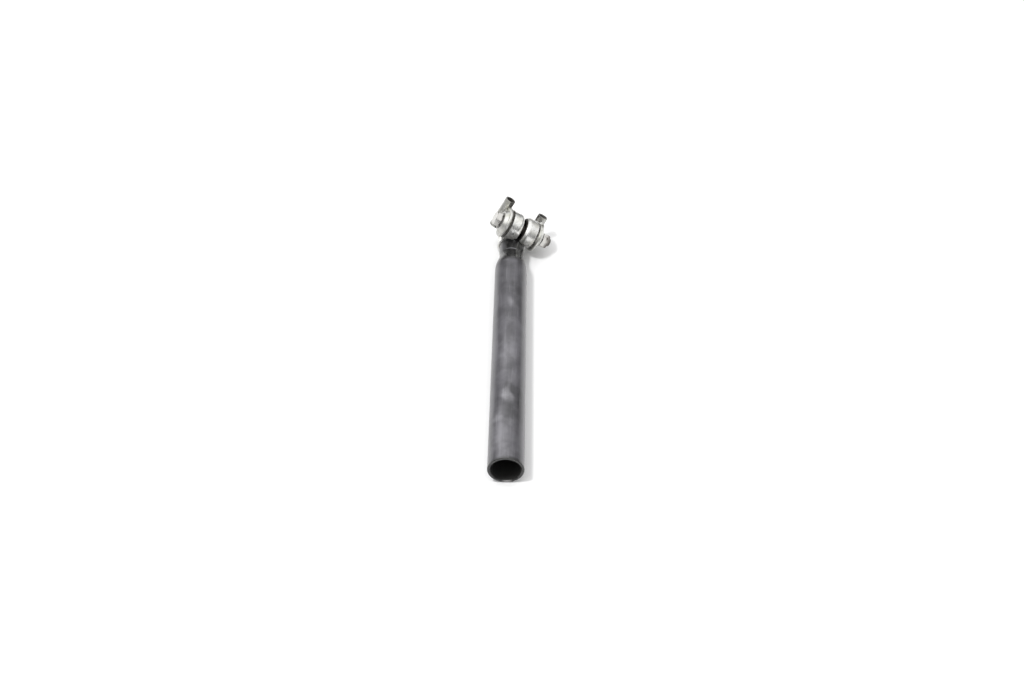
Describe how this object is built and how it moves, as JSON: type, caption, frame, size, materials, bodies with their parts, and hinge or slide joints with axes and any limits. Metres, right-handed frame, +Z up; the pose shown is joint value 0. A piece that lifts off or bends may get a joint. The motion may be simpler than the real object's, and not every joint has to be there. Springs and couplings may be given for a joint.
{
  "type": "bicycle seatpost",
  "caption": "Straight black steel bicycle seatpost with a swaged narrow neck and a bolted plated clamp whose toothed rail plates tilt and swivel to hold a saddle.",
  "frame": {"origin": "centre of the post's open bottom end, on the tube's axis", "axes": "+Y along the post towards the saddle clamp, +Z up from the surface it lies on, +X to the right"},
  "size_m": [0.0569, 0.3019, 0.0505],
  "materials": {
    "black_paint": "satin black paint, scuffed to charcoal grey",
    "zinc_plate": "bright plated pressed steel, slightly yellowed and spotted",
    "bolt_steel": "plated steel fastener, darker at the nut and thread"
  },
  "bodies": {
    "post": {"post_tube": "black_paint"},
    "saddle_clamp": {"centre_clip": "zinc_plate", "cross_bolt": "bolt_steel", "bolt_nut": "bolt_steel"},
    "left_rail_plates": {"inner_plate_left": "zinc_plate", "outer_plate_left": "zinc_plate"},
    "right_rail_plates": {"inner_plate_right": "zinc_plate", "outer_plate_right": "zinc_plate"}
  },
  "joints": [
    {"name": "clamp_swivel", "type": "hinge", "parent": "post", "child": "saddle_clamp", "pos_m": [0, 0.278, 0], "axis": [0, 1, 0], "continuous": true},
    {"name": "left_rail_tilt", "type": "hinge", "parent": "saddle_clamp", "child": "left_rail_plates", "pos_m": [0.0079, 0.278, 0.01351], "axis": [-0.8633, 0, 0.5047], "continuous": true},
    {"name": "right_rail_tilt", "type": "hinge", "parent": "saddle_clamp", "child": "right_rail_plates", "pos_m": [0.0079, 0.278, 0.01351], "axis": [-0.8633, 0, 0.5047], "continuous": true}
  ]
}
